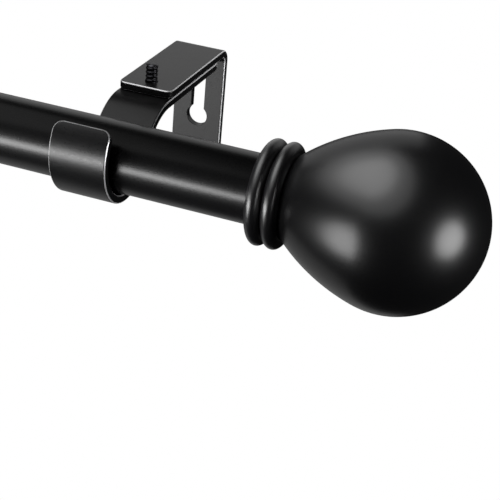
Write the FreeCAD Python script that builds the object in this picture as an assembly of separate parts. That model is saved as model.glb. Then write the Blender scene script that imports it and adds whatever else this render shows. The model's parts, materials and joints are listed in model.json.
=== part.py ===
"""Curtain rod with three wall brackets and ball finials, in millimetres.

X runs along the rod, Y points into the wall and Z is up.  The wall is the plane y = 0.
The origin is the centre of the round end of the middle bracket's keyhole, on the wall.
"""
import FreeCAD, Part
import math
import os

V = FreeCAD.Vector

# ---------------------------------------------------------------- driving dimensions
# rod: three tubes of one diameter, screwed together end to end
tube_diameter = 25.4
tube_wall = 0.8
middle_tube_length = 495.0
end_tube_length = 362.0
tube_edge_round = 0.3
seam_gap = 0.2

# four rolled grooves that crimp a tube onto its screw-in connector
groove_count = 4
first_groove_from_end = 20.0
groove_pitch = 8.0
groove_width = 2.6
groove_depth = 0.5
connector_grip_length = 52.0
connector_thread_diameter = 16.0
connector_thread_length = 22.0
bush_length = 26.0
thread_chamfer = 1.0

# finial: a double ring collar, a ball with a tapered neck and a threaded stud
ring_half_width = 3.05
ring_pitch = 5.9
ring_crest_radius = 19.0
ring_height = 4.4
collar_spigot_length = 3.0
ball_diameter = 63.0
ball_centre_from_collar_face = 49.2
neck_radius = 15.0
neck_curve_radius = 71.5
stud_diameter = 8.0
stud_in_ball = 24.0
stud_in_tube = 16.0
end_insert_length = 20.0

# brackets: a bent wall plate, a hook that slides under its arm and a clamp screw
rod_projection = 95.0
rod_height = 18.4
bracket_width = 22.0
plate_thickness = 3.2
plate_height = 65.0
arm_length = 59.5
plate_bend_inside = 2.8
arm_corner_radius = 3.0
plate_corner_radius = 3.0
end_bracket_to_collar = 61.0

keyhole_diameter = 9.0
keyhole_slot_width = 5.8
keyhole_slot_rise = 18.0
lower_hole_diameter = 5.0
lower_hole_from_end = 9.5

strip_thickness = 3.2
hook_rise = 10.1
hook_bend_radius = 22.0
cradle_radius = 16.1
lip_angle = 42.6
lip_corner_radius = 3.5
hook_rear_gap = 4.3
hook_rear_corner_radius = 6.0
hook_travel = 30.0
hook_slot_clearance = 0.3

# clamp screw: the thread's turn is given as (share of its depth, share of its pitch)
screw_from_arm_end = 6.5
screw_diameter = 4.8
screw_core_diameter = 3.8
screw_pitch = 1.6
screw_thread_turn = ((0.0, 0.2), (1.0, 0.45), (1.0, 0.55), (0.0, 0.8))
screw_projection = 6.6
screw_tip_chamfer = 0.5
screw_head_diameter = 9.4
screw_head_height = 3.2
screw_rim_height = 1.1
screw_shoulder_diameter = 7.5
screw_shoulder_height = 0.7
screw_flat_diameter = 4.2
recess_width = 5.2
recess_slot = 1.2
recess_depth = 1.8

# sheet metal's cut edges
sheet_edge_round = 0.8
sharp_edge_angle = 30.0

# ---------------------------------------------------------------- named clearances
rest_gap = 0.5            # rod to the painted cradle that it lies in
coat_gap = 0.1            # flat painted faces of two pieces that slide on each other
press_gap = 0.02          # an insert in the tube that is crimped or pressed on it
thread_gap = 0.1          # a male thread's crests to the bore that stands for the nut thread
butt_gap = 0.1            # collar to the end of its tube
spigot_gap = 0.3          # collar's spigot to the tube's bore
screw_hole_gap = 0.1      # clamp screw to its hole in the arm

tolerance = 1e-6

# ---------------------------------------------------------------- sizes that follow
tube_radius = tube_diameter / 2
tube_bore = tube_radius - tube_wall
seam_x = middle_tube_length / 2
rod_end_x = seam_x + end_tube_length
ball_radius = ball_diameter / 2
collar_x = rod_end_x + butt_gap
neck_x = collar_x + 2 * ring_half_width + ring_pitch

strip_top = rod_height + hook_rise
strip_under = strip_top - strip_thickness
arm_under = strip_top + coat_gap
arm_top = arm_under + plate_thickness
plate_bottom = arm_top - plate_height
lower_hole_z = plate_bottom + lower_hole_from_end
arm_front_y = -arm_length
screw_y = arm_front_y + screw_from_arm_end
side_bracket_x = rod_end_x - end_bracket_to_collar

cradle_z = rod_height - tube_radius - rest_gap + cradle_radius
cradle_y = -rod_projection
bend_z = strip_top - hook_bend_radius
bend_to_cradle = hook_bend_radius + cradle_radius
bend_y = cradle_y + math.sqrt(bend_to_cradle ** 2 - (cradle_z - bend_z) ** 2)
hook_rear_y = -plate_thickness - hook_rear_gap

BRACKETS = {"left": -side_bracket_x, "centre": 0.0, "right": side_bracket_x}


# ---------------------------------------------------------------- helpers
def polar(y, z, radius, degrees):
    """A point in the YZ plane at an angle that is measured from +Y towards +Z."""
    angle = math.radians(degrees)
    return V(0, y + radius * math.cos(angle), z + radius * math.sin(angle))


def arc(start, middle, end):
    """A circular edge through three points."""
    return Part.Arc(start, middle, end).toShape()


def arc_about(y, z, radius, first, last):
    """A circular edge in the YZ plane between two angles."""
    middle = (first + last) / 2
    return arc(*[polar(y, z, radius, angle) for angle in (first, middle, last)])


def run(points):
    """Straight edges from point to point."""
    return [Part.makeLine(a, b) for a, b in zip(points, points[1:])]


def outline_face(edges):
    """The flat face inside a closed outline."""
    return Part.Face(Part.Wire(Part.__sortEdges__(edges)))


def turned(edges):
    """A closed outline of x and radius, drawn in the XZ plane, turned about the X axis."""
    return outline_face(edges).revolve(V(0, 0, 0), V(1, 0, 0), 360)


def turned_polygon(points):
    """A closed outline of straight edges, given as (x, radius), turned about the X axis."""
    corners = [V(x, 0, radius) for x, radius in points]
    return turned(run(corners + corners[:1]))


def strip(edges):
    """A closed YZ outline made as wide as a bracket, centred on x = 0."""
    solid = outline_face(edges).extrude(V(bracket_width, 0, 0))
    return solid.translated(V(-bracket_width / 2, 0, 0))


def drilled(shape, diameter, x, y, z, direction):
    """A round hole right through a sheet, centred on a point in its middle."""
    start = V(x, y, z) - direction * plate_thickness
    return shape.cut(Part.makeCylinder(diameter / 2, 2 * plate_thickness, start, direction))


def across_sheet(shape, thickness, near_y, near_z):
    """The short edges that run through a sheet's thickness, at its end near a point."""
    return [
        edge for edge in shape.Edges
        if abs(edge.Length - thickness) < tolerance
        and abs(edge.CenterOfMass.y - near_y) < 2 * thickness
        and abs(edge.CenterOfMass.z - near_z) < 2 * thickness
    ]


def is_sharp(shape, edge):
    """Whether the two faces beside an edge meet at a corner."""
    faces = shape.ancestorsOfType(edge, Part.Face)
    if len(faces) != 2:
        return False
    point = edge.valueAt((edge.FirstParameter + edge.LastParameter) / 2)
    normals = [face.normalAt(*face.Surface.parameter(point)) for face in faces]
    return normals[0].getAngle(normals[1]) > math.radians(sharp_edge_angle)


def edges_rounded(shape, radius):
    """The same piece with every sharp edge rounded."""
    return shape.makeFillet(radius, [edge for edge in shape.Edges if is_sharp(shape, edge)])


def on_rod(shape):
    """Move a piece that was turned about the X axis onto the rod's axis."""
    return shape.translated(V(0, -rod_projection, rod_height))


def mirrored(shape):
    """The same piece at the other end of the rod."""
    return shape.mirror(V(0, 0, 0), V(1, 0, 0))


# ---------------------------------------------------------------- rod
def grooved_side(radius, start, end, grooved):
    """One side of a tube's wall or plug, with a round dip at each rolled groove."""
    edges = []
    x = start
    for number in range(groove_count if grooved else 0):
        centre = start + first_groove_from_end + number * groove_pitch
        first = V(centre - groove_width / 2, 0, radius)
        last = V(centre + groove_width / 2, 0, radius)
        edges += run([V(x, 0, radius), first])
        edges.append(arc(first, V(centre, 0, radius - groove_depth), last))
        x = last.x
    return edges + run([V(x, 0, radius), V(end, 0, radius)])


def tube(start, end, grooved):
    """One length of rod tube.  The left end is crimped with grooves when asked."""
    sides = grooved_side(tube_radius, start, end, grooved)
    sides += grooved_side(tube_bore, start, end, grooved)
    for x in (start, end):
        sides += run([V(x, 0, tube_bore), V(x, 0, tube_radius)])
    solid = turned(sides)
    rims = [
        edge for edge in solid.Edges
        if isinstance(edge.Curve, Part.Circle)
        and abs(edge.Curve.Radius - tube_radius) < tolerance
        and min(abs(edge.Curve.Center.x - x) for x in (start, end)) < tolerance
    ]
    return on_rod(solid.makeFillet(tube_edge_round, rims))


def connector(seam):
    """Screw-in connector: its plug is crimped in the tube on the right of a seam, and
    its threaded end reaches into the bush on the left."""
    plug_radius = tube_bore - press_gap
    plug_start = seam + seam_gap / 2
    plug_end = plug_start + connector_grip_length
    thread_end = plug_start - connector_thread_length
    thread_radius = connector_thread_diameter / 2
    side = grooved_side(plug_radius, plug_start, plug_end, True)
    rest = run([
        V(plug_end, 0, plug_radius),
        V(plug_end, 0, 0),
        V(thread_end, 0, 0),
        V(thread_end, 0, thread_radius - thread_chamfer),
        V(thread_end + thread_chamfer, 0, thread_radius),
        V(plug_start, 0, thread_radius),
        V(plug_start, 0, plug_radius),
    ])
    return on_rod(turned(side + rest))


def threaded_bush(end, length, thread_diameter):
    """A bush pressed into a tube, with a bore for a threaded end.  It ends at x = end."""
    bore = thread_diameter / 2 + thread_gap
    outside = tube_bore - press_gap
    start = end - length
    return on_rod(turned_polygon([(start, bore), (start, outside), (end, outside), (end, bore)]))


# ---------------------------------------------------------------- finials
def ring(centre):
    """One ring of the collar: an upright half ellipse that stands on the collar's body."""
    middle = ring_crest_radius - ring_height
    foot = middle - ring_half_width
    left = centre - ring_half_width
    right = centre + ring_half_width
    crest = V(centre, 0, ring_crest_radius)
    ellipse = Part.Ellipse(crest, V(left, 0, middle), V(centre, 0, middle))
    crown = ellipse.toShape(-math.pi / 2, math.pi / 2)
    sides = run([V(left, 0, middle), V(left, 0, foot), V(right, 0, foot), V(right, 0, middle)])
    return turned(sides + [crown])


def finial_collar():
    """Double ring between the right tube and its ball, with a spigot inside the tube."""
    spigot = tube_bore - spigot_gap
    bore = stud_diameter / 2 + press_gap
    body_radius = ring_crest_radius - ring_height
    body = turned_polygon([
        (collar_x - collar_spigot_length, bore),
        (collar_x - collar_spigot_length, spigot),
        (collar_x, spigot),
        (collar_x, body_radius),
        (neck_x, body_radius),
        (neck_x, bore),
    ])
    first = collar_x + ring_half_width
    return on_rod(body.fuse([ring(first), ring(first + ring_pitch)]).removeSplitter())


def finial_ball():
    """Ball that swells from a neck in one smooth curve, with a blind hole for the stud."""
    centre = collar_x + ball_centre_from_collar_face
    reach = math.hypot(centre - neck_x, neck_radius)
    shift = ball_radius - neck_curve_radius
    between = (reach ** 2 + ball_radius ** 2 - 2 * ball_radius * neck_curve_radius) / (2 * shift)
    join = math.pi - math.atan2(neck_radius, centre - neck_x) - math.acos(between / reach)
    curve_x = centre + shift * math.cos(join)
    curve_z = shift * math.sin(join)
    start = math.atan2(neck_radius - curve_z, neck_x - curve_x)

    def on_curve(angle):
        """A point on the long curve between the neck and the ball."""
        x = curve_x + neck_curve_radius * math.cos(angle)
        return V(x, 0, curve_z + neck_curve_radius * math.sin(angle))

    def on_ball(angle):
        """A point on the ball's round end."""
        return V(centre + ball_radius * math.cos(angle), 0, ball_radius * math.sin(angle))

    bore = stud_diameter / 2 + press_gap
    bore_end = neck_x + stud_in_ball
    outline = run([
        on_ball(0),
        V(bore_end, 0, 0),
        V(bore_end, 0, bore),
        V(neck_x, 0, bore),
        on_curve(start),
    ])
    outline.append(arc(on_curve(start), on_curve((start + join) / 2), on_curve(join)))
    outline.append(arc(on_ball(join), on_ball(join / 2), on_ball(0)))
    return on_rod(turned(outline))


def finial_stud():
    """Threaded stud that is fixed in the ball and screws into the tube's end insert."""
    start = collar_x - collar_spigot_length - stud_in_tube
    end = neck_x + stud_in_ball
    radius = stud_diameter / 2
    return on_rod(turned_polygon([
        (start, 0),
        (start, radius - thread_chamfer),
        (start + thread_chamfer, radius),
        (end, radius),
        (end, 0),
    ]))


# ---------------------------------------------------------------- brackets
def wall_plate():
    """Steel strip bent into an upright plate with a keyhole and a level arm."""
    outer = plate_bend_inside + plate_thickness
    bend_y = -outer
    bend_z = arm_top - outer
    outside = run([V(0, arm_front_y, arm_top), V(0, bend_y, arm_top)])
    outside.append(arc_about(bend_y, bend_z, outer, 90, 0))
    outside += run([V(0, 0, bend_z), V(0, 0, plate_bottom), V(0, -plate_thickness, plate_bottom)])
    inside = run([V(0, -plate_thickness, plate_bottom), V(0, -plate_thickness, bend_z)])
    inside.append(arc_about(bend_y, bend_z, plate_bend_inside, 0, 90))
    inside += run([
        V(0, bend_y, arm_under),
        V(0, arm_front_y, arm_under),
        V(0, arm_front_y, arm_top),
    ])
    shape = strip(outside + inside)
    shape = shape.makeFillet(
        arm_corner_radius,
        across_sheet(shape, plate_thickness, arm_front_y, arm_top),
    )
    shape = shape.makeFillet(
        plate_corner_radius,
        across_sheet(shape, plate_thickness, 0, plate_bottom),
    )
    shape = edges_rounded(shape, sheet_edge_round)
    into_wall = V(0, 1, 0)
    middle = -plate_thickness / 2
    slot = Part.makeBox(keyhole_slot_width, 2 * plate_thickness, keyhole_slot_rise)
    slot = slot.translated(V(-keyhole_slot_width / 2, middle - plate_thickness, 0))
    shape = shape.cut(slot)
    shape = drilled(shape, keyhole_diameter, 0, middle, 0, into_wall)
    shape = drilled(shape, keyhole_slot_width, 0, middle, keyhole_slot_rise, into_wall)
    shape = drilled(shape, lower_hole_diameter, 0, middle, lower_hole_z, into_wall)
    screw_hole = screw_diameter + 2 * screw_hole_gap
    return drilled(shape, screw_hole, 0, screw_y, arm_under + plate_thickness / 2, V(0, 0, 1))


def hook():
    """Steel strip that slides under the arm, bends down behind the rod and cradles it."""
    join = math.degrees(math.atan2(cradle_z - bend_z, cradle_y - bend_y))
    lip = -180 - lip_angle
    upper = run([V(0, hook_rear_y, strip_top), V(0, bend_y, strip_top)])
    upper.append(arc_about(bend_y, bend_z, hook_bend_radius, 90, join))
    upper.append(arc_about(cradle_y, cradle_z, cradle_radius, join - 180, lip))
    inner_bend = hook_bend_radius - strip_thickness
    outer_cradle = cradle_radius + strip_thickness
    under = run([V(0, hook_rear_y, strip_under), V(0, bend_y, strip_under)])
    under.append(arc_about(bend_y, bend_z, inner_bend, 90, join))
    under.append(arc_about(cradle_y, cradle_z, outer_cradle, join - 180, lip))
    ends = run([V(0, hook_rear_y, strip_top), V(0, hook_rear_y, strip_under)])
    lip_inside = polar(cradle_y, cradle_z, cradle_radius, lip)
    lip_outside = polar(cradle_y, cradle_z, outer_cradle, lip)
    ends += run([lip_inside, lip_outside])
    shape = strip(upper + under + ends)
    shape = shape.makeFillet(
        hook_rear_corner_radius,
        across_sheet(shape, strip_thickness, hook_rear_y, strip_top),
    )
    shape = shape.makeFillet(
        lip_corner_radius,
        across_sheet(shape, strip_thickness, lip_inside.y, lip_inside.z),
    )
    shape = edges_rounded(shape, sheet_edge_round)
    slot_radius = screw_diameter / 2 + hook_slot_clearance
    middle = strip_under + strip_thickness / 2
    slot = Part.makeBox(2 * slot_radius, hook_travel, 2 * strip_thickness)
    slot = slot.translated(V(-slot_radius, screw_y, middle - strip_thickness))
    shape = shape.cut(slot)
    for y in (screw_y, screw_y + hook_travel):
        shape = drilled(shape, 2 * slot_radius, 0, y, middle, V(0, 0, 1))
    return shape


def thread_side(seat, tip):
    """The corners up the side of the clamp screw, from under its head to its tip."""
    core = screw_core_diameter / 2
    depth = (screw_diameter - screw_core_diameter) / 2
    turns = int((tip - seat) / screw_pitch) - 1
    corners = [V(core, 0, seat)]
    for number in range(turns):
        start = seat + (number + 0.5) * screw_pitch
        for out, along in screw_thread_turn:
            corners.append(V(core + out * depth, 0, start + along * screw_pitch))
    corners.append(V(core, 0, tip - screw_tip_chamfer))
    corners.append(V(core - screw_tip_chamfer, 0, tip))
    return corners


def clamp_screw():
    """Coarse self-tapping screw with a domed cross-recess head, driven up from below."""
    seat = strip_under - coat_gap
    tip = arm_top + screw_projection
    base = seat - screw_head_height
    rim = V(screw_head_diameter / 2, 0, seat - screw_rim_height)
    shoulder = V(screw_shoulder_diameter / 2, 0, base + screw_shoulder_height)
    flat = V(screw_flat_diameter / 2, 0, base)
    side = [rim, V(rim.x, 0, seat)] + thread_side(seat, tip)
    middle = [V(0, 0, tip), V(0, 0, base)]
    outline = run(side + middle + [flat])
    outline.append(arc(rim, shoulder, flat))
    shape = outline_face(outline).revolve(V(0, 0, 0), V(0, 0, 1), 360)
    for turn in (0, 90):
        bar = Part.makeBox(recess_width, recess_slot, recess_depth)
        bar = bar.translated(V(-recess_width / 2, -recess_slot / 2, base))
        bar.rotate(V(0, 0, 0), V(0, 0, 1), turn)
        shape = shape.cut(bar)
    return shape.translated(V(0, screw_y, 0))


# ---------------------------------------------------------------- the whole object
def all_pieces():
    """Every piece by its node name."""
    pieces = {
        "rod_tube_left": tube(-rod_end_x, -seam_x - seam_gap / 2, False),
        "rod_tube_middle": tube(-seam_x + seam_gap / 2, seam_x - seam_gap / 2, True),
        "rod_tube_right": tube(seam_x + seam_gap / 2, rod_end_x, True),
    }
    for side, seam in (("left", -seam_x), ("right", seam_x)):
        pieces["connector_" + side] = connector(seam)
        pieces["connector_bush_" + side] = threaded_bush(
            seam - seam_gap / 2, bush_length, connector_thread_diameter
        )
    insert_end = rod_end_x - collar_spigot_length - butt_gap
    finial = {
        "end_insert": threaded_bush(insert_end, end_insert_length, stud_diameter),
        "finial_collar": finial_collar(),
        "finial_ball": finial_ball(),
        "finial_stud": finial_stud(),
    }
    for name, shape in finial.items():
        pieces[name + "_right"] = shape
        pieces[name + "_left"] = mirrored(shape)
    bracket = {"wall_plate": wall_plate(), "hook": hook(), "clamp_screw": clamp_screw()}
    for side, x in BRACKETS.items():
        for name, shape in bracket.items():
            pieces[name + "_" + side] = shape.translated(V(x, 0, 0))
    return pieces


os.makedirs("parts", exist_ok=True)
for node, solid in all_pieces().items():
    print(node, solid.isValid(), len(solid.Solids), round(solid.Volume, 1))
    solid.exportStep("parts/" + node + ".step")
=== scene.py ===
# %% [markdown]
# # A black curtain rod with ball ends
#
# The rod is three steel tubes screwed end to end.  Each end has a double ring and a
# ball.  Three brackets carry it: a bent wall plate, a hook that slides under the
# plate's arm, and a screw that clamps the two.
#
# Everything is black, so highlights do all the telling.  Two things then matter more
# than colour: true curves with small rounded edges, and lights in the right places.
# The measured frame is loaded first.

# %% Load the measured frame
import json
import math

import bmesh
import bpy
from mathutils import Matrix, Quaternion, Vector

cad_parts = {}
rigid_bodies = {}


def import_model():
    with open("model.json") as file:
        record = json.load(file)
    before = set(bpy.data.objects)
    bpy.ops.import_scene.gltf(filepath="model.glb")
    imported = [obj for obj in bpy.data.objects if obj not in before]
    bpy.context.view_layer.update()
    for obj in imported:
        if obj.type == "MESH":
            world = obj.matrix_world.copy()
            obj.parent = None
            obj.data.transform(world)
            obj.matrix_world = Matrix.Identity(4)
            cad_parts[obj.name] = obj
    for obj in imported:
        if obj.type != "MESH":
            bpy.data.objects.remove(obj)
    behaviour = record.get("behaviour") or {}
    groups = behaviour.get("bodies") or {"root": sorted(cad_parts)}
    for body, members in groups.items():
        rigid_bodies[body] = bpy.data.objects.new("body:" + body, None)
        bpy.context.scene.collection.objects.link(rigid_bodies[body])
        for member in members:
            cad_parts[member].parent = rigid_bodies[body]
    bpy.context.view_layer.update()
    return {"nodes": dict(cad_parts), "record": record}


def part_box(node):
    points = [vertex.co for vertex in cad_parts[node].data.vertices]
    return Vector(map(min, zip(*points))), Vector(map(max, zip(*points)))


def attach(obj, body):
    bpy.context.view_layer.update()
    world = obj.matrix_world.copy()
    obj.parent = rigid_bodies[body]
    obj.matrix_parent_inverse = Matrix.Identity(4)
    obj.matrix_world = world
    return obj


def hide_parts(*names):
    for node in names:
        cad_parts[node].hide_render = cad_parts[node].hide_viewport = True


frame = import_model()

# %% [markdown]
# ## Sizes
#
# Blender works in metres, but hardware is drawn in millimetres.  The pieces below
# are drawn in millimetres too, and shrunk once when they are finished.  Their places
# are read from the frame's own boxes, so nothing has to be fitted by eye.

# %% Read the sizes of the rod
MM = 0.001


def box_mm(node):
    """Lowest and highest corner of a node of the frame, in millimetres."""
    low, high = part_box(node)
    return low / MM, high / MM


tube_low, tube_high = box_mm("rod_tube_right")
rod_axis = (tube_low + tube_high) / 2
rod_axis.x = 0
TUBE_RADIUS = (tube_high.z - tube_low.z) / 2
TUBE_WALL = 0.8
print("tube radius", round(TUBE_RADIUS, 2), "on an axis at", [round(c, 1) for c in rod_axis])

# %% [markdown]
# ## Camera
#
# A close view shows the hardware best: one bracket, the end of the rod and the ball.
# A long lens from half an arm's length away keeps the ball from looking swollen.  The
# camera is rolled a few degrees, so that the rod falls to the right.

# %% Aim the camera
VIEW_AZIMUTH = math.radians(18.12)
VIEW_ELEVATION = math.radians(28.27)
VIEW_ROLL = math.radians(5.46)
VIEW_DISTANCE = 454.0
AIM_RIGHT_OF_BRACKET = 48.6
AIM_UNDER_ROD = 24.0
SENSOR = 36.0
LENS = 92.0
NEAREST_SEEN = 10.0

bracket_side = box_mm("wall_plate_right")[1].x
aim = Vector((bracket_side + AIM_RIGHT_OF_BRACKET, rod_axis.y, rod_axis.z - AIM_UNDER_ROD))
towards_camera = Vector((
    math.sin(VIEW_AZIMUTH) * math.cos(VIEW_ELEVATION),
    -math.cos(VIEW_AZIMUTH) * math.cos(VIEW_ELEVATION),
    math.sin(VIEW_ELEVATION),
))
camera = bpy.data.objects.new("camera", bpy.data.cameras.new("camera"))
bpy.context.scene.collection.objects.link(camera)
camera.data.sensor_width = SENSOR
camera.data.lens = LENS
camera.data.clip_start = NEAREST_SEEN * MM
camera.location = (aim + towards_camera * VIEW_DISTANCE) * MM
camera.rotation_mode = "QUATERNION"
upright = (-towards_camera).to_track_quat("-Z", "Y")
camera.rotation_quaternion = upright @ Quaternion((0, 0, 1), VIEW_ROLL)
bpy.context.scene.camera = camera
print("camera at", [round(c, 3) for c in camera.location])

# %% [markdown]
# ## Colours and nodes
#
# Colours are written as the hex values that a paint chart gives, and one function
# turns them into the linear values that the renderer adds up.  One more small
# function adds any shader node with its settings and links, so that each finish
# below reads as a short recipe.


# %% Helpers for materials
def linear(code):
    """Linear colour with alpha, from an sRGB hex value such as '#1a1a1b'."""
    parts = [int(code[start:start + 2], 16) / 255 for start in (1, 3, 5)]
    return [p / 12.92 if p <= 0.04045 else ((p + 0.055) / 1.055) ** 2.4 for p in parts] + [1]


def add_node(tree, kind, inputs, **settings):
    """Add a node, set its properties, and give its inputs their values or links."""
    made = tree.nodes.new(kind)
    for name, value in settings.items():
        setattr(made, name, value)
    for socket, value in inputs.items():
        if isinstance(value, bpy.types.NodeSocket):
            tree.links.new(value, made.inputs[socket])
        else:
            made.inputs[socket].default_value = value
    return made


def new_material(name):
    """An empty material, with its node tree and the socket that takes its surface."""
    material = bpy.data.materials.new(name)
    material.use_nodes = True
    material.node_tree.nodes.clear()
    output = add_node(material.node_tree, "ShaderNodeOutputMaterial", {})
    return material, material.node_tree, output.inputs["Surface"]


print("black powder is", [round(c, 4) for c in linear("#121213")[:3]], "in linear light")

# %% [markdown]
# ## Black coats
#
# All the black pieces are painted, but not alike.  Powder coat is dry powder baked
# until it flows: it keeps a slight orange-peel wave and a fine grain.  Spray lacquer
# on the ball is finer and more matt, and so has broad soft highlights.
#
# One recipe serves them all.  A slow noise makes the coat a little thicker and
# thinner, a wave of a few millimetres gives the orange peel, and a fine grain
# scatters the highlight.  The noises are in Object coordinates, in metres, so a
# scale of one over a size in metres gives features of that size.  A real grain is a
# tenth of a millimetre or less, and these are drawn coarser so that they show.

# %% Black coat recipe
COAT_FLOW_SIZE = 22.0
FLOW_OCTAVES = 3.0
PEEL_OCTAVES = 1.0
GRAIN_OCTAVES = 2.0
COAT_NOISE_ROUGHNESS = 0.55
NOISE_LOW, NOISE_HIGH = 0.3, 0.7


def black_coat(name, colours, roughness, peel, grain, metallic=0.0):
    """A baked or sprayed black coat.  Peel and grain are (size, height) in millimetres."""
    material, tree, surface = new_material(name)
    place = add_node(tree, "ShaderNodeTexCoord", {}).outputs["Object"]
    noises = {}
    for label, size, detail in (
        ("flow", COAT_FLOW_SIZE, FLOW_OCTAVES),
        ("peel", peel[0], PEEL_OCTAVES),
        ("grain", grain[0], GRAIN_OCTAVES),
    ):
        noise = add_node(
            tree,
            "ShaderNodeTexNoise",
            {
                "Vector": place,
                "Scale": 1 / (size * MM),
                "Detail": detail,
                "Roughness": COAT_NOISE_ROUGHNESS,
            },
        )
        noises[label] = noise.outputs["Fac"]
    tint = add_node(
        tree,
        "ShaderNodeMix",
        {"Factor": noises["flow"], "A": linear(colours[0]), "B": linear(colours[1])},
        data_type="RGBA",
    )
    scatter = add_node(
        tree,
        "ShaderNodeMapRange",
        {
            "Value": noises["grain"],
            "From Min": NOISE_LOW,
            "From Max": NOISE_HIGH,
            "To Min": roughness[0],
            "To Max": roughness[1],
        },
    )
    wave = add_node(
        tree,
        "ShaderNodeBump",
        {"Height": noises["peel"], "Distance": peel[1] * MM, "Strength": 1.0},
    )
    speck = add_node(
        tree,
        "ShaderNodeBump",
        {
            "Height": noises["grain"],
            "Distance": grain[1] * MM,
            "Strength": 1.0,
            "Normal": wave.outputs["Normal"],
        },
    )
    shader = add_node(
        tree,
        "ShaderNodeBsdfPrincipled",
        {
            "Base Color": tint.outputs["Result"],
            "Roughness": scatter.outputs["Result"],
            "Metallic": metallic,
            "Normal": speck.outputs["Normal"],
        },
    )
    tree.links.new(shader.outputs["BSDF"], surface)
    print(name, "grain of", grain[0], "mm")
    return material


# %% [markdown]
# The tube is rolled steel under satin powder coat, which flows well on a round tube:
# the eye sees one clean soft band along it.  The brackets are coated after they are
# bent, in a drier powder with a visible grain, so they look flatter and greyer.
#
# The edges of the strip get a third coat, pale and half metallic.  Its pale colour is
# a painted highlight: it draws the thin bright lines along the brackets.

# %% Powder coats
tube_coat = black_coat(
    "satin_powder_coat_on_steel_tube",
    colours=("#0c0c0d", "#111112"),
    roughness=(0.27, 0.33),
    peel=(2.6, 0.004),
    grain=(0.5, 0.0025),
)
bracket_coat = black_coat(
    "fine_grain_powder_coat_on_pressed_steel",
    colours=("#0b0b0c", "#101011"),
    roughness=(0.27, 0.36),
    peel=(1.8, 0.006),
    grain=(0.45, 0.009),
)
# The pale colours below are a painted highlight for the strips' outer edges.
edge_highlight_coat = black_coat(
    "powder_coat_rubbed_thin_over_steel_edge",
    colours=("#d0d0d2", "#dededf"),
    roughness=(0.30, 0.40),
    peel=(1.8, 0.004),
    grain=(0.45, 0.004),
    metallic=0.5,
)

# %% [markdown]
# The rings are a zinc casting with smooth satin enamel, a bit glossier than the tube.
# The ball is moulded resin with a sprayed matt lacquer that rubs to a soft bloom.

# %% Enamel and lacquer
ring_coat = black_coat(
    "satin_enamel_on_zinc_casting",
    colours=("#08080a", "#0d0d0e"),
    roughness=(0.30, 0.36),
    peel=(3.0, 0.004),
    grain=(0.5, 0.002),
)
ball_coat = black_coat(
    "matt_lacquer_on_moulded_resin",
    colours=("#060607", "#09090a"),
    roughness=(0.28, 0.33),
    peel=(5.0, 0.003),
    grain=(0.4, 0.0015),
)

# %% [markdown]
# The clamp screw is black-oxided steel: the oxide is thin, so the metal still shows
# as a dark sheen.  It is a metal, and keeps the renderer's own index of refraction.

# %% Black oxide
MOTTLE_OCTAVES = 4.0
MOTTLE_ROUGHNESS = 0.6


def bare_metal(name, colours, roughness, mottle_size, mottle_height):
    """A metal with a fine mottled surface.  Sizes are in millimetres."""
    material, tree, surface = new_material(name)
    place = add_node(tree, "ShaderNodeTexCoord", {}).outputs["Object"]
    mottle = add_node(
        tree,
        "ShaderNodeTexNoise",
        {
            "Vector": place,
            "Scale": 1 / (mottle_size * MM),
            "Detail": MOTTLE_OCTAVES,
            "Roughness": MOTTLE_ROUGHNESS,
        },
    ).outputs["Fac"]
    tint = add_node(
        tree,
        "ShaderNodeMix",
        {"Factor": mottle, "A": linear(colours[0]), "B": linear(colours[1])},
        data_type="RGBA",
    )
    scatter = add_node(
        tree,
        "ShaderNodeMapRange",
        {"Value": mottle, "To Min": roughness[0], "To Max": roughness[1]},
    )
    speck = add_node(
        tree,
        "ShaderNodeBump",
        {"Height": mottle, "Distance": mottle_height * MM, "Strength": 1.0},
    )
    shader = add_node(
        tree,
        "ShaderNodeBsdfPrincipled",
        {
            "Base Color": tint.outputs["Result"],
            "Metallic": 1.0,
            "Roughness": scatter.outputs["Result"],
            "Normal": speck.outputs["Normal"],
        },
    )
    tree.links.new(shader.outputs["BSDF"], surface)
    print(name, "mottle of", mottle_size, "mm")
    return material


screw_oxide = bare_metal(
    "black_oxide_on_steel_screw",
    colours=("#2a2a2c", "#3c3c3f"),
    roughness=(0.32, 0.46),
    mottle_size=0.8,
    mottle_height=0.01,
)

# %% [markdown]
# Inside the rod, hidden until it is unscrewed, are the studs, which are turned steel
# with a bright zinc plate.  The connectors, the bushes that they screw into and the
# inserts at the ends are moulded nylon, a dull milky plastic.

# %% Zinc plate and nylon
NYLON_CLOUD_SIZE = 3.0
NYLON_CLOUD_OCTAVES = 3.0
NYLON_CLOUD_HEIGHT = 0.02
NYLON_ROUGHNESS = 0.48
NYLON_IOR = 1.53
NYLON_SCATTER = 0.15
NYLON_SCATTER_DEPTH = 2.0

zinc_plate = bare_metal(
    "bright_zinc_plate_on_turned_steel",
    colours=("#a9adb3", "#c6cacd"),
    roughness=(0.22, 0.38),
    mottle_size=1.2,
    mottle_height=0.004,
)

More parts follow.
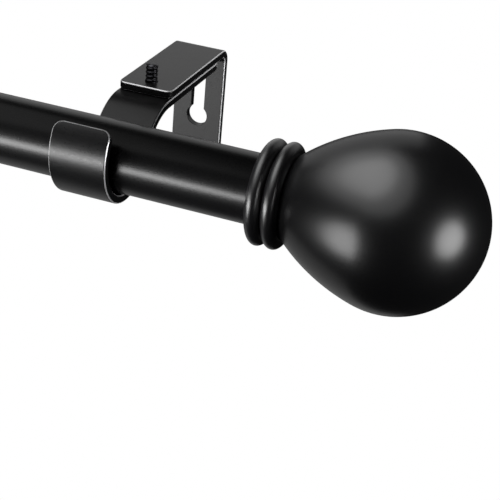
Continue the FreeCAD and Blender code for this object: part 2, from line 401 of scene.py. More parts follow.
nylon, nylon_tree, nylon_surface = new_material("moulded_natural_nylon")
nylon_place = add_node(nylon_tree, "ShaderNodeTexCoord", {}).outputs["Object"]
nylon_cloud = add_node(
    nylon_tree,
    "ShaderNodeTexNoise",
    {
        "Vector": nylon_place,
        "Scale": 1 / (NYLON_CLOUD_SIZE * MM),
        "Detail": NYLON_CLOUD_OCTAVES,
    },
).outputs["Fac"]
nylon_tint = add_node(
    nylon_tree,
    "ShaderNodeMix",
    {"Factor": nylon_cloud, "A": linear("#d8d4c6"), "B": linear("#e6e3d8")},
    data_type="RGBA",
)
nylon_bump = add_node(
    nylon_tree,
    "ShaderNodeBump",
    {"Height": nylon_cloud, "Distance": NYLON_CLOUD_HEIGHT * MM},
)
nylon_shader = add_node(
    nylon_tree,
    "ShaderNodeBsdfPrincipled",
    {
        "Base Color": nylon_tint.outputs["Result"],
        "Roughness": NYLON_ROUGHNESS,
        "IOR": NYLON_IOR,
        "Subsurface Weight": NYLON_SCATTER,
        "Subsurface Scale": NYLON_SCATTER_DEPTH * MM,
        "Normal": nylon_bump.outputs["Normal"],
    },
)
nylon_tree.links.new(nylon_shader.outputs["BSDF"], nylon_surface)

# %% [markdown]
# The shapes of these hidden pieces are right as the frame gives them.  They keep
# their meshes, and only get their finish, in the material slot that is already there.

# %% Give the hidden pieces their finishes
hidden_finishes = {
    "connector": nylon,
    "connector_bush": nylon,
    "end_insert": nylon,
    "finial_stud": zinc_plate,
}
for side in ("left", "right"):
    for part, finish in hidden_finishes.items():
        frame["nodes"][part + "_" + side].data.materials[0] = finish
print("hidden pieces finished:", len(hidden_finishes) * 2)

# %% [markdown]
# ## Drawing and finishing shapes
#
# Most of this hardware is made in two ways: turned on a lathe, or pressed from a
# strip.  For turned pieces a thin outline is drawn like a pen line: straight runs by
# extruding the last point, arcs by spinning it, and a corner is eased with a bevel.
# Then the whole line is spun once around the rod's axis.

# %% Pen strokes
SAME_PLACE = 0.001


def line_to(shape, tip, *corners):
    """Draw straight runs of an outline through (along, radius) points."""
    for along, radius in corners:
        tip = bmesh.ops.extrude_vert_indiv(shape, verts=[tip])["verts"][0]
        tip.co = (along, 0, radius)
    return tip


def arc_to(shape, tip, centre, degrees, steps):
    """Draw an arc of an outline about an (along, radius) centre.  Plus turns to +X."""
    swept = bmesh.ops.spin(
        shape,
        geom=[tip],
        cent=(centre[0], 0, centre[1]),
        axis=(0, 1, 0),
        angle=math.radians(degrees),
        steps=steps,
    )
    return swept["geom_last"][0]


def ease_corners(shape, corners, offset, segments):
    """Round some corners of an outline."""
    bmesh.ops.bevel(
        shape,
        geom=corners,
        offset=offset,
        segments=segments,
        profile=0.5,
        affect="VERTICES",
        material=-1,
    )


def turned(shape, steps):
    """Spin a drawn outline right round the X axis, and close its seam and poles."""
    outline = shape.verts[:] + shape.edges[:]
    bmesh.ops.spin(
        shape,
        geom=outline,
        cent=(0, 0, 0),
        axis=(1, 0, 0),
        angle=math.tau,
        steps=steps,
        use_merge=True,
    )
    bmesh.ops.remove_doubles(shape, verts=shape.verts[:], dist=SAME_PLACE)
    bmesh.ops.recalc_face_normals(shape, faces=shape.faces[:])


# %% [markdown]
# A finished shape is shrunk to metres and becomes an object.  It rides on the same
# body as the frame's node that it stands for, and takes that node's place.

# %% Finish a piece
body_of_node = {}
for body, members in frame["record"]["behaviour"]["bodies"].items():
    for member in members:
        body_of_node[member] = body


def finished(shape, name, node, coat):
    """Turn a shape drawn in millimetres into the piece that stands for a node."""
    bmesh.ops.scale(shape, vec=(MM, MM, MM), verts=shape.verts[:])
    mesh = bpy.data.meshes.new(name)
    shape.to_mesh(mesh)
    shape.free()
    mesh.shade_smooth()
    mesh.materials.append(coat)
    piece = bpy.data.objects.new(name, mesh)
    bpy.context.scene.collection.objects.link(piece)
    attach(piece, body_of_node[node])
    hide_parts(node)
    print(name, len(mesh.polygons), "faces, rides on", body_of_node[node])
    return piece


# %% [markdown]
# ## Rod tubes
#
# Each tube is a thin skin spun round its axis and given its wall afterwards.  Next
# to each seam, one tube has four rolled grooves that crimp it onto its connector.  A
# groove is drawn as an arc that dips half a millimetre, and its two lips are eased
# with a small bevel, because a hard lip would glitter.

# %% Draw a tube
GROOVE_COUNT = 4
FIRST_GROOVE = 20.0
GROOVE_PITCH = 8.0
GROOVE_HALF_WIDTH = 1.3
GROOVE_DEPTH = 0.5
GROOVE_LIP = 0.35
GROOVE_LIP_STEPS = 3
GROOVE_STEPS = 12
GROOVE_RADIUS = (GROOVE_HALF_WIDTH ** 2 + GROOVE_DEPTH ** 2) / (2 * GROOVE_DEPTH)
GROOVE_SWEEP = 2 * math.degrees(math.asin(GROOVE_HALF_WIDTH / GROOVE_RADIUS))
TUBE_STEPS = 128
print("a groove's arc:", round(GROOVE_SWEEP), "degrees, radius", round(GROOVE_RADIUS, 2), "mm")


def tube_skin(start, end, grooved):
    """The outside of a tube, with grooves near its left end when asked."""
    shape = bmesh.new()
    tip = shape.verts.new((start, 0, TUBE_RADIUS))
    lips = []
    for number in range(GROOVE_COUNT if grooved else 0):
        middle = start + FIRST_GROOVE + number * GROOVE_PITCH
        tip = line_to(shape, tip, (middle - GROOVE_HALF_WIDTH, TUBE_RADIUS))
        lips.append(tip)
        centre = (middle, TUBE_RADIUS - GROOVE_DEPTH + GROOVE_RADIUS)
        tip = arc_to(shape, tip, centre, -GROOVE_SWEEP, GROOVE_STEPS)
        lips.append(tip)
    line_to(shape, tip, (end, TUBE_RADIUS))
    ease_corners(shape, lips, GROOVE_LIP, GROOVE_LIP_STEPS)
    turned(shape, TUBE_STEPS)
    return shape


# %% [markdown]
# Solidify gives the skin its wall, towards the inside, so that the outside keeps its
# measured size.  Bevel then rounds the rims.  It looks only for sharp edges, so the
# facets of the round tube stay as they are.

# %% Make the three tubes
SHARP_DEGREES = 30
TUBE_EDGE = 0.3
TUBE_EDGE_STEPS = 3


def add_wall(piece, thickness):
    """Give a skin its thickness towards the inside."""
    wall = piece.modifiers.new("wall", "SOLIDIFY")
    wall.thickness = thickness * MM
    wall.offset = -1
    wall.use_even_offset = True


def round_edges(piece, radius, segments):
    """Round every edge where a piece turns sharply."""
    rounding = piece.modifiers.new("rounded_edges", "BEVEL")
    rounding.width = radius * MM
    rounding.segments = segments
    rounding.limit_method = "ANGLE"
    rounding.angle_limit = math.radians(SHARP_DEGREES)
    rounding.use_clamp_overlap = False
    rounding.harden_normals = True


for side, grooved in (("left", False), ("middle", True), ("right", True)):
    node = "rod_tube_" + side
    low, high = box_mm(node)
    skin = tube_skin(low.x, high.x, grooved)
    bmesh.ops.translate(skin, vec=rod_axis, verts=skin.verts[:])
    piece = finished(skin, side + "_tube", node, tube_coat)
    add_wall(piece, TUBE_WALL)
    round_edges(piece, TUBE_EDGE, TUBE_EDGE_STEPS)

# %% [markdown]
# ## Double rings
#
# The collar between tube and ball is one casting with two rings.  A ring's crown is
# half an ellipse, made as an arc of a circle and stretched.  Only the left ring is
# drawn: the pair is even, so the other is its mirror image.  The crease where the two
# crowns meet is eased, as the mould leaves it.

# %% Draw a collar
RING_HALF_WIDTH = 3.05
RING_PITCH = 5.9
RING_HEIGHT = 4.4
SPIGOT_LENGTH = 3.0
SPIGOT_RADIUS = 11.6
STUD_HOLE_RADIUS = 4.02
RING_FOOT_DEGREES = math.degrees(math.acos(RING_PITCH / 2 / RING_HALF_WIDTH))
RING_CROWN_STEPS = 20
RING_CREASE = 0.3
RING_CREASE_STEPS = 4
RING_STEPS = 144
MIRROR_MERGE = 0.05


def collar_shape(low, high):
    """Both rings, the spigot inside the tube and the hole for the stud."""
    crest = (high.z - low.z) / 2
    body_radius = crest - RING_HEIGHT
    half_pair = RING_HALF_WIDTH + RING_PITCH / 2
    shape = bmesh.new()
    tip = shape.verts.new((-half_pair, 0, body_radius))
    crown_centre = (-RING_PITCH / 2, body_radius)
    arc_to(shape, tip, crown_centre, 180 - RING_FOOT_DEGREES, RING_CROWN_STEPS)
    bmesh.ops.scale(
        shape,
        vec=(1, 1, RING_HEIGHT / RING_HALF_WIDTH),
        space=Matrix.Translation((0, 0, -body_radius)),
        verts=shape.verts[:],
    )
    bmesh.ops.mirror(
        shape, geom=shape.verts[:] + shape.edges[:], merge_dist=MIRROR_MERGE, axis="X"
    )
    by_place = sorted(shape.verts, key=lambda vert: vert.co.x)
    crease = min(shape.verts, key=lambda vert: abs(vert.co.x))
    tip = line_to(
        shape,
        by_place[0],
        (-half_pair, SPIGOT_RADIUS),
        (-half_pair - SPIGOT_LENGTH, SPIGOT_RADIUS),
        (-half_pair - SPIGOT_LENGTH, STUD_HOLE_RADIUS),
        (half_pair, STUD_HOLE_RADIUS),
    )
    shape.edges.new((tip, by_place[-1]))
    ease_corners(shape, [crease], RING_CREASE, RING_CREASE_STEPS)
    bmesh.ops.translate(shape, vec=(high.x - half_pair, 0, 0), verts=shape.verts[:])
    turned(shape, RING_STEPS)
    print("crown arcs meet", round(RING_PITCH / 2, 2), "mm from each ring's middle")
    return shape


# %% [markdown]
# ## Balls
#
# The ball swells from a narrow neck in a long curve that runs smoothly into its
# round end.  The two arcs meet where they share a tangent, on the line through both
# of their centres.  That point is worked out from the ball's box and two radii.

# %% Draw a ball
NECK_RADIUS = 15.0
NECK_CURVE_RADIUS = 71.5
STUD_HOLE_DEPTH = 24.0
NECK_STEPS = 28
ROUND_END_STEPS = 64
BALL_STEPS = 160


def ball_shape(low, high):
    """The neck's curve, the round end and the blind hole for the stud."""
    radius = (high.z - low.z) / 2
    centre = high.x - radius
    back = centre - low.x
    shift = radius - NECK_CURVE_RADIUS
    reach = math.hypot(back, NECK_RADIUS)
    lean = (reach ** 2 + shift ** 2 - NECK_CURVE_RADIUS ** 2) / (2 * shift * reach)
    join = math.pi - math.atan2(NECK_RADIUS, back) - math.acos(lean)
    curve = (centre + shift * math.cos(join), shift * math.sin(join))
    start = math.atan2(NECK_RADIUS - curve[1], low.x - curve[0])
    print("neck curve sweeps", round(math.degrees(start - join), 1), "degrees")
    shape = bmesh.new()
    tip = shape.verts.new((low.x + STUD_HOLE_DEPTH, 0, 0))
    tip = line_to(
        shape,
        tip,
        (low.x + STUD_HOLE_DEPTH, STUD_HOLE_RADIUS),
        (low.x, STUD_HOLE_RADIUS),
        (low.x, NECK_RADIUS),
    )
    tip = arc_to(shape, tip, curve, math.degrees(start - join), NECK_STEPS)
    pole = arc_to(shape, tip, (centre, 0), math.degrees(join), ROUND_END_STEPS)
    pole.co = (high.x, 0, 0)
    turned(shape, BALL_STEPS)
    return shape


# %% [markdown]
# Both finials are drawn at the right-hand end.  The left-hand ones are the same
# shapes turned half round about the upright axis, which leaves them right side out,
# where a mirror would turn them inside out.

# %% Make both finials
for part, drawn, coat, slot in (
    ("finial_collar", collar_shape, ring_coat, "painted_casting"),
    ("finial_ball", ball_shape, ball_coat, "lacquered_resin"),
):
    for side, half_turn in (("right", 0), ("left", math.pi)):
        node = part + "_" + side
        shape = drawn(*box_mm(part + "_right"))
        bmesh.ops.rotate(shape, matrix=Matrix.Rotation(half_turn, 3, "Z"), verts=shape.verts[:])
        bmesh.ops.translate(shape, vec=rod_axis, verts=shape.verts[:])
        finished(shape, side + "_" + part.split("_")[1], node, coat)

# %% [markdown]
# ## Pressed strip
#
# The plates and hooks are made as in the workshop.  A flat blank is cut with round
# corners and holes, then it is bent, and only then does it get its thickness.  The
# holes are drawn flat as closed lines, and one fill makes the sheet around them.
#
# A margin of even width is then inset along every edge of the sheet.  The edges are
# rounded at the end, and the margin gives that rounding neat faces to run in.  The
# inset leaves the middle's long triangles in disorder, so the middle is filled anew.
# The blank's outer edges are marked, the holes' are not, because only the outer
# edges get the painted highlight.

# %% Cut a blank
CORNER_STEPS = 10
EDGE_MARGIN = 1.4
ON_THE_LINE = 0.01


def fill_between(shape, edges):
    """Fill the flat space between closed loops of edges, facing up."""
    bmesh.ops.triangle_fill(shape, edges=edges, use_beauty=True)
    shape.normal_update()
    for face in shape.faces:
        if face.normal.z < 0:
            face.normal_flip()


def blank(width, length, near_corner, far_corner, *holes):
    """The outline of a flat strip from y = 0 to its length, with holes drawn in it."""
    shape = bmesh.new()
    chamfered = shape.edges.layers.float.new("bevel_weight_edge")
    bmesh.ops.create_grid(shape, x_segments=1, y_segments=1, size=0.5)
    bmesh.ops.translate(shape, vec=(0, 0.5, 0), verts=shape.verts[:])
    bmesh.ops.scale(shape, vec=(width, length, 1), verts=shape.verts[:])
    far = [vert for vert in shape.verts if vert.co.y > length / 2]
    near = [vert for vert in shape.verts if vert not in far]
    for corners, radius in ((near, near_corner), (far, far_corner)):
        ease_corners(shape, corners, radius, CORNER_STEPS)
    bmesh.ops.delete(shape, geom=shape.faces[:], context="FACES_ONLY")
    for hole in holes:
        hole(shape)
    fill_between(shape, shape.edges[:])
    margin = bmesh.ops.inset_region(
        shape,
        faces=shape.faces[:],
        thickness=EDGE_MARGIN,
        use_boundary=True,
        use_even_offset=True,
    )["faces"]
    outline = [edge for edge in shape.edges if edge.is_boundary]
    middle = [face for face in shape.faces if face not in margin]
    bmesh.ops.delete(shape, geom=middle, context="FACES")
    inner = [edge for edge in shape.edges if edge.is_boundary and edge not in outline]
    fill_between(shape, inner)
    print("blank of", round(width, 1), "by", round(length, 1), "mm")
    for edge in outline:
        place = (edge.verts[0].co + edge.verts[1].co) / 2
        corner = near_corner if place.y < length / 2 else far_corner
        from_side = width / 2 - abs(place.x)
        from_end = min(place.y, length - place.y)
        along_side = min(from_side, from_end) < ON_THE_LINE
        round_corner = max(from_side, from_end) < corner
        edge[chamfered] = 1.0 if along_side or round_corner else 0.0
    return shape


# %% [markdown]
# A round hole is a circle.  A slot has one arc at each end, and the keyhole is a slot
# whose two ends differ.  The wide end's arc starts where the narrow slot runs into it.


# %% Draw the holes
HOLE_STEPS = 40


def slot_hole(near_y, near_radius, far_y, far_radius):
    """A slot along the strip, between two round ends that may differ in size."""
    half_width = min(near_radius, far_radius)

    def draw(shape):
        meets = {}
        for y, radius, way in ((near_y, near_radius, -1), (far_y, far_radius, 1)):
            opening = math.asin(half_width / radius)
            reach = radius * math.cos(opening)
            start = shape.verts.new((half_width, y - way * reach, 0))
            sweep = (math.tau - 2 * opening) * way
            arc = bmesh.ops.spin(
                shape, geom=[start], cent=(0, y, 0), axis=(0, 0, 1), angle=sweep, steps=HOLE_STEPS
            )
            meets[way] = (start, arc["geom_last"][0])
        for one, other in zip(meets[-1], meets[1]):
            shape.edges.new((one, other))

    return draw


def round_hole(y, radius):
    """A round hole on the strip's centre line."""

    def draw(shape):
        bmesh.ops.create_circle(
            shape, segments=HOLE_STEPS, radius=radius, matrix=Matrix.Translation((0, y, 0))
        )

    return draw


# %% [markdown]
# Bending copies a press brake.  The blank is scored across at every few degrees of
# the bend, and from the far end back, all that lies past a score is turned a little.
# Each score is a fold of a few degrees, so together they make a round bend.
#
# The fill's long triangles would crumple in a bend, so those inside it are merged
# before they are scored.  A bend may run on to the strip's far end, as a hook's does.
# The scores then stop where its round corners begin, because a score across a corner
# leaves slivers that catch the light.  Past that line only the points that are there
# already follow the bend.

# %% Bend a blank
FOLD_DEGREES = 4.0
LIP_CORNER = 3.5
SCORE_REACH = 0.0005
PAST_SCORE = 0.001


def cut_across(shape, y):
    """Score a strip from side to side."""
    bmesh.ops.bisect_plane(
        shape,
        geom=shape.verts[:] + shape.edges[:] + shape.faces[:],
        plane_co=(0, y, 0),
        plane_no=(0, 1, 0),
        dist=SCORE_REACH,
    )


def bent(shape, bends):
    """Fold a blank.  Each bend is (start, radius, degrees) and minus folds down."""
    scores = []
    round_end = max(vert.co.y for vert in shape.verts) - LIP_CORNER
    for start, radius, degrees in bends:
        folds = math.ceil(abs(degrees) / FOLD_DEGREES)
        run = radius * math.radians(abs(degrees)) / folds
        ends = (start, min(start + run * folds, round_end))
        for y in ends:
            cut_across(shape, y)
        inside = [f for f in shape.faces if ends[0] < f.calc_center_median().y < ends[1]]
        bmesh.ops.dissolve_faces(shape, faces=inside)
        if ends[1] == round_end:
            past = [f for f in shape.faces if f.calc_center_median().y > round_end]
            middle = [f for f in past if not any(vert.is_boundary for vert in f.verts)]
            bmesh.ops.dissolve_faces(shape, faces=middle)
        turn = math.radians(degrees) / folds
        scores += [(start + run * (fold + 0.5), turn) for fold in range(folds)]
    for y, turn in scores:
        if y < round_end:
            cut_across(shape, y)
    flat_place = {vert: vert.co.y for vert in shape.verts}
    for y, turn in reversed(scores):
        beyond = [vert for vert, place in flat_place.items() if place > y + PAST_SCORE]
        fold = Matrix.Rotation(turn, 3, "X")
        bmesh.ops.rotate(shape, cent=(0, y, 0), matrix=fold, verts=beyond)


print("a quarter bend has", math.ceil(90 / FOLD_DEGREES), "folds")

# %% [markdown]
# ## Wall plates
#
# One strip makes the level arm and the upright plate.  The arm's front has round
# corners and a hole for the clamp screw.  The plate hangs on a wall screw's head by
# its keyhole, and a second screw through the lower hole keeps it there.
#
# A narrow chamfer along the outer edges carries the pale coat that paints their
# highlight.  A second, smaller bevel then rounds it and every other sharp edge, so none
# of them is a hard line.

# %% Make the wall plates
STRIP_THICKNESS = 3.2
STRIP_CHAMFER = 0.45
STRIP_EDGE = 0.2
STRIP_EDGE_STEPS = 3
PLATE_CORNER = 3.0
PLATE_BEND = 6.0
KEYHOLE_RADIUS = 4.5
KEYHOLE_SLOT_RADIUS = 2.9
KEYHOLE_RISE = 18.0
LOWER_HOLE_RADIUS = 2.5
LOWER_HOLE_FROM_END = 9.5
SCREW_HOLE_RADIUS = 2.5


def finish_strip(piece):
    """Give a bent blank its thickness, paint a highlight on its outer edges and round what is
    sharp.
    """
    add_wall(piece, STRIP_THICKNESS)
    piece.data.materials.append(edge_highlight_coat)
    # This chamfer gets the pale coat, which paints a highlight along the outer edges.
    highlight_chamfer = piece.modifiers.new("rubbed_edges", "BEVEL")
    highlight_chamfer.width = STRIP_CHAMFER * MM
    highlight_chamfer.segments = 1
    highlight_chamfer.limit_method = "WEIGHT"
    highlight_chamfer.use_clamp_overlap = False
    highlight_chamfer.material = len(piece.data.materials) - 1
    round_edges(piece, STRIP_EDGE, STRIP_EDGE_STEPS)


def wall_plate_shape(low, high, screw_place):
    """A blank with its holes, folded once, with its outer side drawn."""
    arm = high.y - low.y - PLATE_BEND
    bend = PLATE_BEND * math.pi / 2
    upright_start = arm + bend
    length = upright_start + high.z - PLATE_BEND - low.z
    keyhole = upright_start + high.z - PLATE_BEND
    shape = blank(
        high.x - low.x,
        length,
        PLATE_CORNER,
        PLATE_CORNER,
        round_hole(screw_place.y - low.y, SCREW_HOLE_RADIUS),
        slot_hole(keyhole - KEYHOLE_RISE, KEYHOLE_SLOT_RADIUS, keyhole, KEYHOLE_RADIUS),
        round_hole(length - LOWER_HOLE_FROM_END, LOWER_HOLE_RADIUS),
    )
    bent(shape, [(arm, PLATE_BEND, -90)])
    bmesh.ops.translate(shape, vec=((low.x + high.x) / 2, low.y, high.z), verts=shape.verts[:])
    return shape


for side in ("left", "centre", "right"):
    node = "wall_plate_" + side
    screw_low, screw_high = box_mm("clamp_screw_" + side)
    shape = wall_plate_shape(*box_mm(node), (screw_low + screw_high) / 2)
    piece = finished(shape, side + "_wall_plate", node, bracket_coat)
    finish_strip(piece)

# %% [markdown]
# ## Hooks
#
# The hook starts behind, under the arm, as a flat strip with a long slot for the
# clamp screw.  It bends down in front, then turns back the other way to cradle the
# rod.  Its upper side is drawn: the outside of the first bend and the inside of the
# cradle.  The two bends meet on the line through both of their centres.

# %% Make the hooks
HOOK_BEND = 22.0
CRADLE_RADIUS = 16.1
REST_GAP = 0.5
COAT_GAP = 0.1
LIP_DEGREES = 42.6
HOOK_REAR_CORNER = 6.0
HOOK_TRAVEL = 30.0
HOOK_SLOT_RADIUS = 2.7


def hook_shape(low, high, top, screw_place):
    """A blank with its slot, folded down and then round the rod."""
    cradle_y = rod_axis.y
    cradle_z = rod_axis.z - TUBE_RADIUS - REST_GAP + CRADLE_RADIUS
    bend_z = top - HOOK_BEND
    rise = cradle_z - bend_z
    bend_y = cradle_y + math.sqrt((HOOK_BEND + CRADLE_RADIUS) ** 2 - rise ** 2)
    down = 90 - math.degrees(math.atan2(rise, bend_y - cradle_y))
    round_rod = 180 - (90 - down) + LIP_DEGREES
    flat = high.y - bend_y
    bend = HOOK_BEND * math.radians(down)
    slot_far = high.y - screw_place.y
    shape = blank(
        high.x - low.x,
        flat + bend + CRADLE_RADIUS * math.radians(round_rod),
        HOOK_REAR_CORNER,
        LIP_CORNER,
        slot_hole(slot_far - HOOK_TRAVEL, HOOK_SLOT_RADIUS, slot_far, HOOK_SLOT_RADIUS),
    )
    bent(shape, [(flat, HOOK_BEND, -down), (flat + bend, CRADLE_RADIUS, round_rod)])
    bmesh.ops.rotate(shape, matrix=Matrix.Rotation(math.pi, 3, "Z"), verts=shape.verts[:])
    bmesh.ops.translate(shape, vec=((low.x + high.x) / 2, high.y, top), verts=shape.verts[:])
    return shape


for side in ("left", "centre", "right"):
    node = "hook_" + side
    screw_low, screw_high = box_mm("clamp_screw_" + side)
    strip_top = box_mm("wall_plate_" + side)[1].z - STRIP_THICKNESS - COAT_GAP
    shape = hook_shape(*box_mm(node), strip_top, (screw_low + screw_high) / 2)
    piece = finished(shape, side + "_hook", node, bracket_coat)
    finish_strip(piece)

# %% [markdown]
# ## Clamp screws
#
# The thread is a true helix.  One pitch of its outline is spun round many times, and
# climbs a little at each step, so that every turn starts where the last one ended.
# It is made too long and then cut square at both ends, as threaded rod is.
#
# The outline is given in shares of the pitch and of the thread's depth.  Its flanks
# run smoothly into a round crest and a flat root, because a thread that is rolled,
# and not cut, has no sharp crest.

# %% Spin a thread
THREAD_CREST = 2.4
THREAD_ROOT = 2.1
THREAD_PITCH = 1.6
THREAD_STEPS = 40
SPARE_TURNS = 2
SAME_THREAD_POINT = 0.002
THREAD_OUTLINE = (
    (0.0, 0.0),
    (0.14, 0.0),
    (0.24, 0.2),
    (0.36, 0.76),
    (0.45, 0.96),
    (0.5, 1.0),
    (0.55, 0.96),
    (0.64, 0.76),
    (0.76, 0.2),
    (0.86, 0.0),
    (1.0, 0.0),
)


def thread_shape(bottom, top):
    """A closed length of thread that stands on the Z axis."""
    shape = bmesh.new()
    start = bottom - SPARE_TURNS * THREAD_PITCH
    depth = THREAD_CREST - THREAD_ROOT
    points = [
        (THREAD_ROOT + rise * depth, 0, start + along * THREAD_PITCH)
        for along, rise in THREAD_OUTLINE
    ]
    outline = [shape.verts.new(point) for point in points]
    outline += [shape.edges.new(pair) for pair in zip(outline, outline[1:])]
    turns = math.ceil((top - start) / THREAD_PITCH) + 1
    print(turns, "turns of thread are spun, and then cut to", round(top - bottom, 1), "mm")
    bmesh.ops.spin(
        shape,
        geom=outline,
        cent=(0, 0, 0),
        axis=(0, 0, 1),
        dvec=(0, 0, THREAD_PITCH / THREAD_STEPS),
        angle=math.tau * turns,
        steps=THREAD_STEPS * turns,
    )
    bmesh.ops.remove_doubles(shape, verts=shape.verts[:], dist=SAME_THREAD_POINT)
    for height, way in ((bottom, -1), (top, 1)):
        bmesh.ops.bisect_plane(
            shape,
            geom=shape.verts[:] + shape.edges[:] + shape.faces[:],
            plane_co=(0, 0, height),
            plane_no=(0, 0, way),
            clear_outer=True,
        )
    rims = [edge for edge in shape.edges if edge.is_boundary]
    bmesh.ops.holes_fill(shape, edges=rims, sides=0)
    bmesh.ops.recalc_face_normals(shape, faces=shape.faces[:])
    return shape


# %% [markdown]
# The head is a low dome with a cross recess.  The dome is turned, and two bars cut
# the recess out of it.  The thread and the head are joined by the exact boolean, so
# the screw stays one closed shell with nothing hidden inside.  The helper takes two
# shapes and gives back one, whichever way they are combined.

# %% Join and cut closed shapes
def combined(shape, other, operation):
    """Union or difference of two closed shapes, as one new shape."""
    things = []
    for part in (shape, other):
        mesh = bpy.data.meshes.new("workpiece")
        part.to_mesh(mesh)
        part.free()
        thing = bpy.data.objects.new("workpiece", mesh)
        bpy.context.scene.collection.objects.link(thing)
        things.append(thing)
    boolean = things[0].modifiers.new("combine", "BOOLEAN")
    boolean.operation = operation
    boolean.solver = "EXACT"
    boolean.object = things[1]
    depsgraph = bpy.context.evaluated_depsgraph_get()
    result = bmesh.new()
    result.from_object(things[0], depsgraph)
    for thing in things:
        mesh = thing.data
        bpy.data.objects.remove(thing)
        bpy.data.meshes.remove(mesh)
    return result


# %% [markdown]
# The screw stands head down under the hook's strip, and its thread comes up through
# the hook's slot and the plate's arm.  The head's height, the dome and the recess are
# those of a common furniture screw.

# %% Make the clamp screws
HEAD_RADIUS = 4.7
HEAD_HEIGHT = 3.2
HEAD_RIM = 1.1
HEAD_FLAT_RADIUS = 0.45 * HEAD_RADIUS
HEAD_SHOULDER = (0.28 * HEAD_HEIGHT, 0.84 * HEAD_RADIUS)
HEAD_EASE = 0.3
HEAD_EASE_STEPS = 4
HEAD_STEPS = 64
RECESS_WIDTH = 5.2
RECESS_SLOT = 1.2
RECESS_DEPTH = 1.8
THREAD_IN_HEAD = 1.0


def screw_head():
    """The dome, turned on the X axis with its flat first, then stood up along Z."""
    shape = bmesh.new()
    tip = shape.verts.new((0, 0, 0))
    line_to(
        shape,
        tip,
        (0, HEAD_FLAT_RADIUS),
        HEAD_SHOULDER,
        (HEAD_HEIGHT - HEAD_RIM, HEAD_RADIUS),
        (HEAD_HEIGHT, HEAD_RADIUS),
        (HEAD_HEIGHT, 0),
    )
    corners = [vert for vert in shape.verts if len(vert.link_edges) == 2]
    ease_corners(shape, corners, HEAD_EASE, HEAD_EASE_STEPS)
    turned(shape, HEAD_STEPS)
    bmesh.ops.rotate(shape, matrix=Matrix.Rotation(-math.pi / 2, 3, "Y"), verts=shape.verts[:])
    return shape


def recess_bar(turn):
    """One bar of the cross that cuts the recess."""
    shape = bmesh.new()
    size = (RECESS_WIDTH, RECESS_SLOT, 2 * RECESS_DEPTH)
    bmesh.ops.create_cube(shape, size=1)
    bmesh.ops.scale(shape, vec=size, verts=shape.verts[:])
    bmesh.ops.rotate(shape, matrix=Matrix.Rotation(turn, 3, "Z"), verts=shape.verts[:])
    return shape


for side in ("left", "centre", "right"):
    node = "clamp_screw_" + side
    low, high = box_mm(node)
    thread = thread_shape(HEAD_HEIGHT - THREAD_IN_HEAD, high.z - low.z)
    blank_screw = combined(screw_head(), thread, "UNION")
    cross = combined(recess_bar(0), recess_bar(math.pi / 2), "UNION")
    shape = combined(blank_screw, cross, "DIFFERENCE")
    middle = (low + high) / 2
    bmesh.ops.translate(shape, vec=(middle.x, middle.y, low.z), verts=shape.verts[:])
    finished(shape, side + "_clamp_screw", node, screw_oxide)

# %% [markdown]
# ## Floor and light
#
# Black hardware looks its best over a white table that is lit from below.  The table
# looks evenly white, yet it is kept out of the paint's reflections, because a black
# object with bright surroundings would look grey all over.  The floor therefore gives
# off its own white, and glossy and diffuse rays pass it by.
#
# The room is handled in the same way.  The camera sees plain white behind the table,
# but what the paint reflects is a nearly dark room.  These sizes are in metres.

# %% Lay the floor
FLOOR_HEIGHT = -1.2
FLOOR_SIZE = 30.0
TABLE_WHITE = "#ffffff"
TABLE_GLOW = 1.0
ROOM_GLOW = 0.01

floor_shape = bmesh.new()
bmesh.ops.create_grid(floor_shape, x_segments=1, y_segments=1, size=FLOOR_SIZE / 2)
bmesh.ops.translate(floor_shape, vec=(0, 0, FLOOR_HEIGHT), verts=floor_shape.verts[:])
floor_mesh = bpy.data.meshes.new("floor")
floor_shape.to_mesh(floor_mesh)
floor_shape.free()
floor = bpy.data.objects.new("floor", floor_mesh)
bpy.context.scene.collection.objects.link(floor)
floor.visible_glossy = False
floor.visible_diffuse = False

floor_glow, floor_tree, floor_surface = new_material("white_light_table")
floor_shader = add_node(
    floor_tree, "ShaderNodeEmission", {"Color": linear(TABLE_WHITE), "Strength": TABLE_GLOW}
)
floor_tree.links.new(floor_shader.outputs["Emission"], floor_surface)
floor_mesh.materials.append(floor_glow)

world = bpy.data.worlds.new("studio")
world.use_nodes = True
world.node_tree.nodes.clear()
bpy.context.scene.world = world
room_tree = world.node_tree
direct_look = add_node(room_tree, "ShaderNodeLightPath", {}).outputs["Is Camera Ray"]
brightness = add_node(
    room_tree,
    "ShaderNodeMapRange",
    {"Value": direct_look, "To Min": ROOM_GLOW, "To Max": TABLE_GLOW},
)
room = add_node(
    room_tree,
    "ShaderNodeBackground",
    {"Color": linear(TABLE_WHITE), "Strength": brightness.outputs["Result"]},
)
add_node(room_tree, "ShaderNodeOutputWorld", {"Surface": room.outputs["Background"]})
bpy.context.scene.view_settings.view_transform = "Standard"
print("floor", FLOOR_SIZE, "m wide, room glow", ROOM_GLOW)

# %% [markdown]
# Each light is a soft panel that faces the end of the rod.  It is given by the
# direction it stands in, its distance and its size, as it would be set up in a studio.
# A panel is hidden from the camera, so it can stand anywhere.
#
# In a studio a black card keeps a light off some of the pieces.  Light linking does
# that here.  The overhead panel and its smaller core shape the balls, but a card
# keeps them off the tubes, which stay deep black but for the band that the front
# strip draws along them.  The panels in front and on the right add the balls' smaller
# highlights.  The back panel draws the tubes' rim, and two weak fills show the shape
# of the hooks and of the wall plates and touch nothing else.

# %% Place the lights
LIGHT_CENTRE = Vector((0.64, -0.095, 0.02))


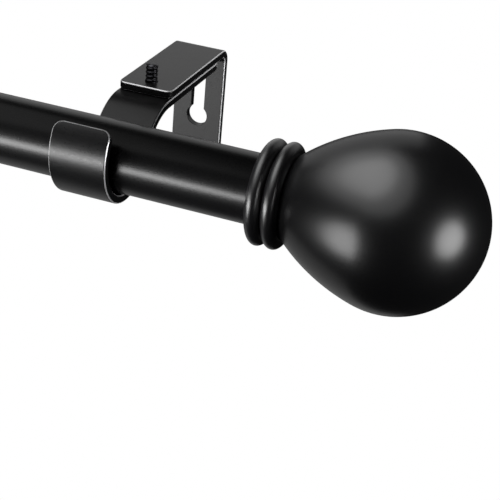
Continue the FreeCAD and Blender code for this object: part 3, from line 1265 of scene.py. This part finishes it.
def soft_light(name, azimuth, elevation, distance, width, height, power, shape):
    """A flat light that faces the centre.  Azimuth 0 is in front and 90 to the right."""
    turn, tilt = math.radians(azimuth), math.radians(elevation)
    direction = Vector((
        math.sin(turn) * math.cos(tilt), -math.cos(turn) * math.cos(tilt), math.sin(tilt)
    ))
    lamp = bpy.data.lights.new(name, "AREA")
    lamp.shape = shape
    lamp.size = width
    lamp.size_y = height
    lamp.energy = power
    light = bpy.data.objects.new(name, lamp)
    bpy.context.scene.collection.objects.link(light)
    light.location = LIGHT_CENTRE + direction * distance
    light.rotation_mode = "QUATERNION"
    light.rotation_quaternion = direction.to_track_quat("Z", "Y")
    light.visible_camera = False
    print(name, power, "W")
    return light


def keep_off(light, names):
    """Hold a black card between a light and every piece whose name ends in one of these."""
    shaded = bpy.data.collections.new(light.name + "_card")
    for piece in bpy.context.scene.objects:
        if piece.name.endswith(names):
            shaded.objects.link(piece)
    light.light_linking.receiver_collection = shaded
    for member in shaded.collection_objects:
        member.light_linking.link_state = "EXCLUDE"


# azimuth and elevation in degrees, distance, width and height in metres, watts, shape
lights = {
    "overhead_panel": (-58, 62, 1.2, 2.5, 1.8, 16.5, "ELLIPSE"),
    "overhead_core": (-70, 60, 1.2, 1.2, 1.0, 9.5, "ELLIPSE"),
    "right_panel": (78.8, 1.4, 1.2, 0.78, 0.74, 14, "ELLIPSE"),
    "front_panel": (-43, -12.5, 1.4, 0.58, 0.88, 11, "ELLIPSE"),
    "front_strip": (-45, -11.5, 1.4, 1.7, 0.36, 25, "RECTANGLE"),
    "back_panel": (184, 17, 2.6, 3.6, 2.0, 12.5, "RECTANGLE"),
    "rim_panel": (212, 24, 2.6, 2.6, 2.4, 9, "RECTANGLE"),
    "table_bounce": (-125, -52, 1.1, 1.3, 0.7, 1.0, "RECTANGLE"),
    "soft_fill": (-80, 40, 1.3, 1.4, 1.2, 2.0, "RECTANGLE"),
    "hook_fill": (-80, 45, 1.3, 1.4, 1.2, 4.5, "RECTANGLE"),
    "plate_fill": (-33, -11.5, 1.4, 1.0, 0.8, 8.5, "RECTANGLE"),
}
# the endings of the names of the pieces that a light is kept off
cards = {
    "overhead_panel": ("_tube", "_hook"),
    "overhead_core": ("_tube", "_hook", "_wall_plate"),
    "right_panel": ("_tube",),
    "front_panel": ("_tube", "_hook", "_wall_plate", "_clamp_screw"),
    "front_strip": ("_ball", "_wall_plate", "_clamp_screw"),
    "back_panel": ("_ball",),
    "rim_panel": ("_tube", "_hook", "_wall_plate", "_clamp_screw"),
    "soft_fill": ("_ball", "_collar", "_wall_plate", "_clamp_screw"),
    "hook_fill": ("_ball", "_collar", "_wall_plate", "_clamp_screw", "_tube"),
    "plate_fill": ("_ball", "_collar", "_hook", "_clamp_screw", "_tube"),
}
for name, settings in lights.items():
    light = soft_light(name, *settings)
    if name in cards:
        keep_off(light, cards[name])
print(len(lights), "panels, and", len(cards), "of them behind cards")
